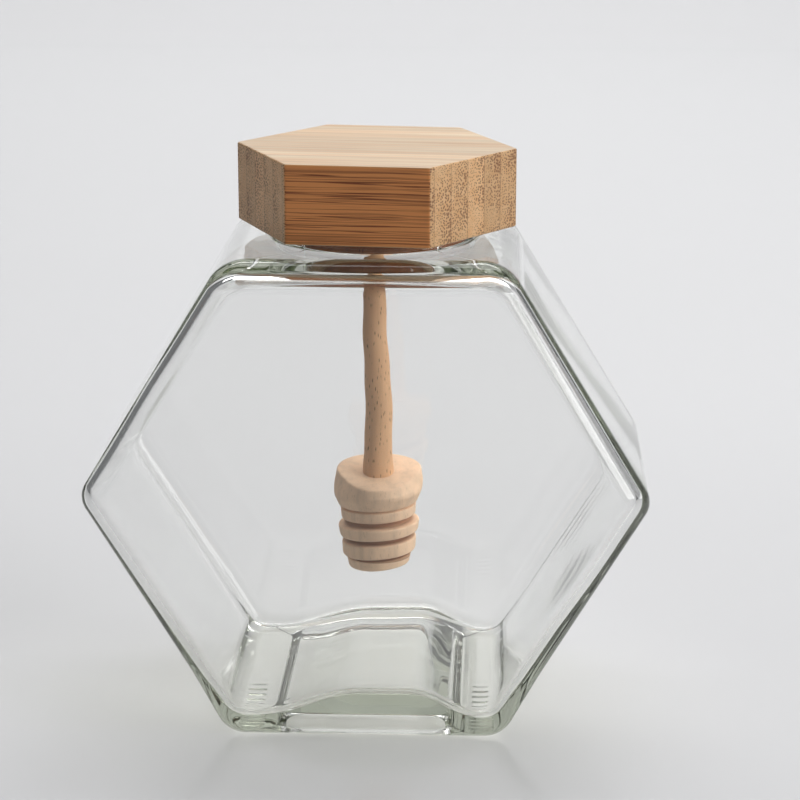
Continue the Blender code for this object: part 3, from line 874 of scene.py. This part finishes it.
def lid_ring(s, drop, per_side=12):
    """One level ring of the lid, moved in by drop: six flats joined by softened corners.

    Each flat has one close step at both ends, which meets the arc of its corner.
    """
    apothem = s.corner_radius * math.cos(math.pi / 6) - drop
    soft = min(s.edge * 1.2, apothem * 0.2)
    run = apothem * math.tan(math.pi / 6) - soft
    inner = np.linspace(-run, run, per_side) * 0.98
    tight = np.concatenate([[-run], inner, [run]])
    flat = np.stack([tight, np.full(len(tight), -apothem)], 1)
    bend = np.radians(np.linspace(0, 60, 5))[1:-1]
    reach = soft * math.tan(math.radians(60))
    arc = np.stack([run + reach * np.sin(bend), -apothem + reach * (1 - np.cos(bend))], 1)
    side = np.concatenate([flat, arc])
    rings = []
    for i in range(6):
        c, t = math.cos(i * math.pi / 3 + s.turn), math.sin(i * math.pi / 3 + s.turn)
        rings.append(side @ np.array([[c, t], [-t, c]]))
    return np.concatenate(rings)


def lid_mesh(s):
    """The lid block: level hexagons stacked up, with a small quarter round at each edge, where
    a ring is moved in by edge(1 - sin a) at a height of edge(1 - cos a)."""
    turn = np.radians(np.linspace(0, 90, 5))
    lower = [(s.edge * (1 - math.sin(a)), LID_LOW.z + s.edge * (1 - math.cos(a))) for a in turn]
    upper = [(drop, LID_HIGH.z + LID_LOW.z - z) for drop, z in reversed(lower)]
    apothem = s.corner_radius * math.cos(math.pi / 6)
    middle = [(0.0, z) for z in np.linspace(LID_LOW.z + 2 * s.edge, LID_HIGH.z - 2 * s.edge, 9)]
    inward = [apothem * share for share in (0.97, 0.6, 0.3, 0.06, 0.03)]
    rows = [(drop, LID_LOW.z) for drop in inward] + lower + middle + upper
    rows += [(drop, LID_HIGH.z) for drop in reversed(inward)]
    rings = np.stack([np.insert(lid_ring(s, drop), 2, z, axis=1) for drop, z in rows])
    rings[..., 0] += (LID_LOW.x + LID_HIGH.x) / 2
    return closed_surface("lid_block_sawn", rings, rings[0].mean(0), rings[-1].mean(0))


class HONEYJAR_OT_glass(Operator):
    """Build the blown glass jar."""

    bl_idname = "honeyjar.glass"
    bl_label = "Glass Jar"

    def execute(self, context):
        g = context.scene.honeyjar_glass
        add_piece("glass_jar", glass_mesh(g), glass_material(g), "glass", "jar_glass")
        return {"FINISHED"}


class HONEYJAR_OT_lid(Operator):
    """Build the laminated bamboo lid."""

    bl_idname = "honeyjar.lid"
    bl_label = "Bamboo Lid"

    def execute(self, context):
        s = context.scene.honeyjar_lid
        add_piece("bamboo_lid", lid_mesh(s), bamboo_material(s), "lid", "lid_block")
        return {"FINISHED"}


class HONEYJAR_OT_dipper(Operator):
    """Build the plug, the stick and the ringed head."""

    bl_idname = "honeyjar.dipper"
    bl_label = "Plug and Dipper"

    def execute(self, context):
        d = context.scene.honeyjar_dipper
        # The plug's darker brown is partly painted shade from under the lid
        plug = turned_wood_material("stained_plug_wood", d.plug, d.plug_fleck, 0.8, LID_AXIS_X)
        stick = turned_wood_material("turned_beech_stick", d.stick, d.stick_fleck, 0.85,
                                     LID_AXIS_X)
        # The head's grooves get a darker colour: painted shade, partly tool scorch
        head = turned_wood_material("turned_pale_beech", d.beech, d.head_fleck, 0.35,
                                    LID_AXIS_X + d.lean / 2, d.groove_shade)
        add_piece("lid_plug_disc", plug_mesh(d), plug, "plug", "lid_plug")
        add_piece("dipper_stick", handle_mesh(d), stick, "handle", "dipper_handle")
        add_piece("dipper_rings", head_mesh(d), head, "head", "dipper_head")
        return {"FINISHED"}


def sweep_mesh(s):
    """The table running up into a backdrop: a floor profile with one large quarter round,
    carried straight across."""
    near, far, bend, tall = -0.55, 1.1, 0.6, 1.8
    turn = np.radians(np.linspace(0, 90, 25))
    y = np.concatenate([np.linspace(near, far, 12), far + bend * np.sin(turn[1:]),
                        np.full(6, far + bend)])
    z = np.concatenate([np.zeros(12), bend * (1 - np.cos(turn[1:])),
                        np.linspace(bend, tall, 7)[1:]])
    z = z - s.table_drop
    x = np.linspace(-s.sweep_half, s.sweep_half, 13)
    points = np.stack([np.broadcast_to(x, (len(y), len(x))), np.broadcast_to(y[:, None],
                      (len(y), len(x))), np.broadcast_to(z[:, None], (len(y), len(x)))], -1)
    row, step = np.meshgrid(np.arange(len(y) - 1), np.arange(len(x) - 1), indexing="ij")
    base = row * len(x) + step
    quads = np.stack([base, base + 1, base + len(x) + 1, base + len(x)], -1).reshape(-1, 4)
    mesh = bpy.data.meshes.new("studio_sweep")
    mesh.from_pydata(points.reshape(-1, 3).tolist(), [], quads.tolist())
    mesh.polygons.foreach_set("use_smooth", np.ones(len(mesh.polygons), bool))
    mesh.update()
    return mesh


def add_softbox(name, place, target, size, power):
    """An area light of width and height size, aimed at target."""
    light = bpy.data.lights.new(name, "AREA")
    light.shape = "RECTANGLE"
    light.size, light.size_y = size
    light.energy = power
    lamp = bpy.data.objects.new(name, light)
    aim = np.array(target) - np.array(place)
    from_above = math.acos(-aim[2] / np.linalg.norm(aim))
    lamp.location = place
    lamp.rotation_euler = (from_above, 0, math.atan2(aim[1], aim[0]) - math.pi / 2)
    bpy.context.scene.collection.objects.link(lamp)
    return lamp


def add_camera(s):
    """The camera at the photograph's viewing angle."""
    data = bpy.data.cameras.new("photo_camera")
    data.lens = s.lens
    data.sensor_width = 36
    data.clip_start, data.clip_end = 0.01, 20
    camera = bpy.data.objects.new("photo_camera", data)
    camera.location = s.camera_place
    camera.rotation_euler = (math.pi / 2 - s.camera_tilt, 0, s.camera_pan)
    bpy.context.scene.collection.objects.link(camera)
    bpy.context.scene.camera = camera


class HONEYJAR_OT_studio(Operator):
    """Build the table, the soft lights and the camera."""

    bl_idname = "honeyjar.studio"
    bl_label = "Studio"

    def execute(self, context):
        s = context.scene.honeyjar_studio
        sweep = bpy.data.objects.new("studio_sweep", sweep_mesh(s))
        context.scene.collection.objects.link(sweep)
        sweep.data.materials.append(table_material(s.table))
        add_softbox("key_softbox", (0.90, -0.30, 0.55), (0, 0, 0.06), (0.55, 0.7), s.key_power)
        add_softbox("overhead_softbox", (0.20, 0.30, 1.2), (0, 0.05, 0), (0.9, 0.9),
                    s.overhead_power)
        add_softbox("backdrop_softbox", (0, 0.8, 1.6), (0, 1.6, 0.4), (1.8, 0.5),
                    s.backdrop_power)
        world = bpy.data.worlds.new("studio_room")
        world.use_nodes = True
        world.node_tree.nodes["Background"].inputs[0].default_value = (*s.room, 1.0)
        context.scene.world = world
        add_camera(s)
        context.scene.view_settings.view_transform = "Standard"
        context.scene.cycles.max_bounces = 64
        context.scene.cycles.transmission_bounces = 64
        context.scene.cycles.glossy_bounces = 64
        context.scene.cycles.transparent_max_bounces = 16
        return {"FINISHED"}


class HONEYJAR_PT_panel(Panel):
    """Lists the pieces of the jar."""

    bl_label = "Honey Jar"
    bl_space_type = "VIEW_3D"
    bl_region_type = "UI"
    bl_category = "Honey Jar"

    def draw(self, context):
        for step in OPERATORS:
            self.layout.operator(step.bl_idname)


OPERATORS = (HONEYJAR_OT_glass, HONEYJAR_OT_lid, HONEYJAR_OT_dipper, HONEYJAR_OT_studio)
SETTINGS = {"honeyjar_glass": GlassSettings, "honeyjar_lid": LidSettings,
            "honeyjar_dipper": DipperSettings, "honeyjar_studio": StudioSettings}


def register():
    """Registers the settings, the operators and the panel."""
    for name, group in SETTINGS.items():
        bpy.utils.register_class(group)
        setattr(bpy.types.Scene, name, PointerProperty(type=group))
    for item in (*OPERATORS, HONEYJAR_PT_panel):
        bpy.utils.register_class(item)


def unregister():
    """Takes away what register added."""
    for item in (*OPERATORS, HONEYJAR_PT_panel):
        bpy.utils.unregister_class(item)
    for name, group in SETTINGS.items():
        delattr(bpy.types.Scene, name)
        bpy.utils.unregister_class(group)


def main():
    """Builds every piece in order."""
    register()
    bpy.ops.honeyjar.glass()
    bpy.ops.honeyjar.lid()
    bpy.ops.honeyjar.dipper()
    bpy.ops.honeyjar.studio()


if __name__ == "__main__":
    main()
